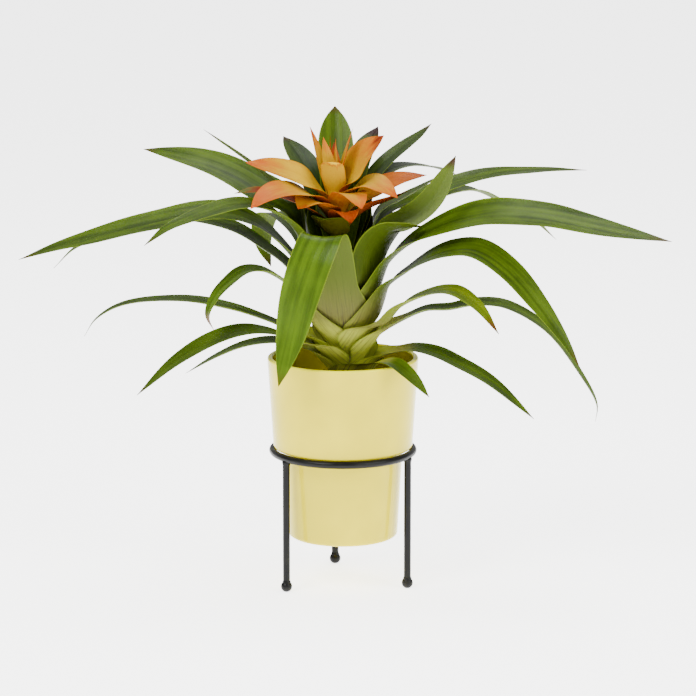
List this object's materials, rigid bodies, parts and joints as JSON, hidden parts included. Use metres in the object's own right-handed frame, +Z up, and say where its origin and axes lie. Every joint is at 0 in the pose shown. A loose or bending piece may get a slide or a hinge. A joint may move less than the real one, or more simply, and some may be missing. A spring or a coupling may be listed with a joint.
{
  "type": "potted bromeliad",
  "caption": "Bromeliad with strap leaves and a star of bracts, in a stepped glazed pot that hangs in the ring of a three-legged rod stand with ball feet",
  "frame": {"origin": "on the floor, under the vertical axis of the pot and the stand's ring", "axes": "+Z up; +X across the front of the plant to its right-hand side, along its longest extent; +Y away from the front"},
  "size_m": [0.5889, 0.2237, 0.4401],
  "materials": {
    "stand": "black semi-gloss paint over welded rod",
    "pot": "glossy lemon-yellow glaze",
    "grow_pot": "thin black moulded plastic",
    "potting_mix": null,
    "stem": null,
    "leaf": null,
    "bract": null,
    "flower_bud": null
  },
  "bodies": {
    "root": {"stand_ring": "stand", "stand_leg_right": "stand", "stand_leg_left": "stand", "stand_leg_back": "stand", "ball_foot_right": "stand", "ball_foot_left": "stand", "ball_foot_back": "stand", "ceramic_pot": "pot", "grow_pot": "grow_pot", "potting_mix": "potting_mix", "stem": "stem", "leaf_01": "leaf", "leaf_02": "leaf", "leaf_03": "leaf", "leaf_04": "leaf", "leaf_05": "leaf", "leaf_06": "leaf", "leaf_07": "leaf", "leaf_08": "leaf", "leaf_09": "leaf", "leaf_10": "leaf", "leaf_11": "leaf", "leaf_12": "leaf", "leaf_13": "leaf", "leaf_14": "leaf", "leaf_15": "leaf", "leaf_16": "leaf", "leaf_17": "leaf", "leaf_18": "leaf", "leaf_19": "leaf", "leaf_20": "leaf", "leaf_21": "leaf", "leaf_22": "leaf", "leaf_23": "leaf", "leaf_24": "leaf", "leaf_25": "leaf", "leaf_26": "leaf", "leaf_27": "leaf", "leaf_28": "leaf", "leaf_29": "leaf", "leaf_30": "leaf", "bract_01": "bract", "bract_02": "bract", "bract_03": "bract", "bract_04": "bract", "bract_05": "bract", "bract_06": "bract", "bract_07": "bract", "bract_08": "bract", "bract_09": "bract", "bract_10": "bract", "bract_11": "bract", "bract_12": "bract", "bract_13": "bract", "bract_14": "bract", "bract_15": "bract", "bract_16": "bract", "flower_bud_1": "flower_bud", "flower_bud_2": "flower_bud"}
  },
  "joints": []
}
